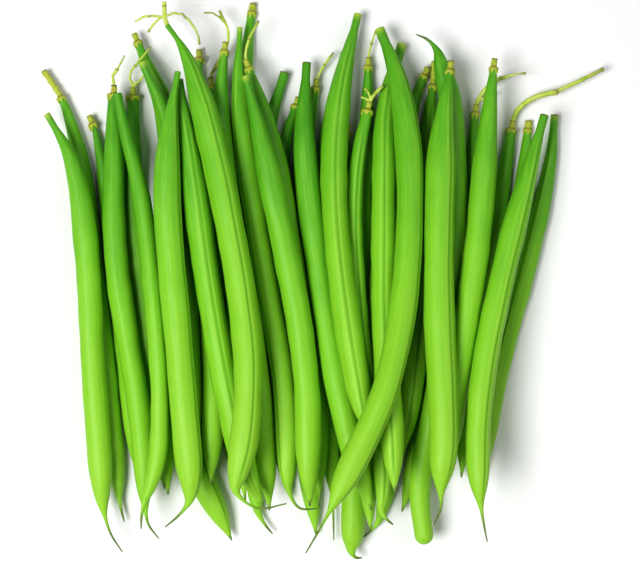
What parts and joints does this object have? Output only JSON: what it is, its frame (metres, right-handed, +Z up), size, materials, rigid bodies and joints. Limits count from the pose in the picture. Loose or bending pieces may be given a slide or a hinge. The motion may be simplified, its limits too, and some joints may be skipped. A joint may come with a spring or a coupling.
{
  "type": "green bean bundle",
  "caption": "Loose bundle of long slim green bean pods lying side by side in a low pile, stem ends together, with a few thin branched stalks.",
  "frame": {"origin": "centre of the bundle's footprint, on the surface that it lies on", "axes": "+Z up, +Y along the pods towards their stem ends, +X across the bundle to the right when seen from above with the stem ends at the top"},
  "size_m": [0.1696, 0.1674, 0.0358],
  "materials": {
    "pod_skin": "smooth, slightly waxy bright green skin, darker at the neck and yellow-green at the tip",
    "stalk": "matt fibrous yellow-green stalk, browned at the cut ends"
  },
  "bodies": {
    "root": {"pod_01": "pod_skin", "pod_02": "pod_skin", "pod_03": "pod_skin", "pod_04": "pod_skin", "pod_05": "pod_skin", "pod_06": "pod_skin", "pod_07": "pod_skin", "pod_08": "pod_skin", "pod_09": "pod_skin", "pod_10": "pod_skin", "pod_11": "pod_skin", "pod_12": "pod_skin", "pod_13": "pod_skin", "pod_14": "pod_skin", "pod_15": "pod_skin", "pod_16": "pod_skin", "pod_17": "pod_skin", "pod_18": "pod_skin", "pod_19": "pod_skin", "pod_20": "pod_skin", "pod_21": "pod_skin", "pod_22": "pod_skin", "pod_23": "pod_skin", "pod_24": "pod_skin", "pod_25": "pod_skin", "pod_26": "pod_skin", "pod_27": "pod_skin", "pod_28": "pod_skin", "pod_29": "pod_skin", "pod_30": "pod_skin", "pod_31": "pod_skin", "pod_32": "pod_skin", "pod_33": "pod_skin", "pod_34": "pod_skin", "pod_35": "pod_skin", "pod_36": "pod_skin", "pod_37": "pod_skin", "pod_38": "pod_skin", "pod_39": "pod_skin", "pod_40": "pod_skin", "pod_41": "pod_skin", "pod_42": "pod_skin", "pod_43": "pod_skin", "pod_44": "pod_skin", "stalk_01": "stalk", "stalk_02": "stalk", "stalk_03": "stalk", "stalk_04": "stalk", "stalk_05": "stalk", "stalk_06": "stalk", "stalk_07": "stalk", "stalk_08": "stalk", "stalk_09": "stalk", "stalk_10": "stalk"}
  },
  "joints": []
}
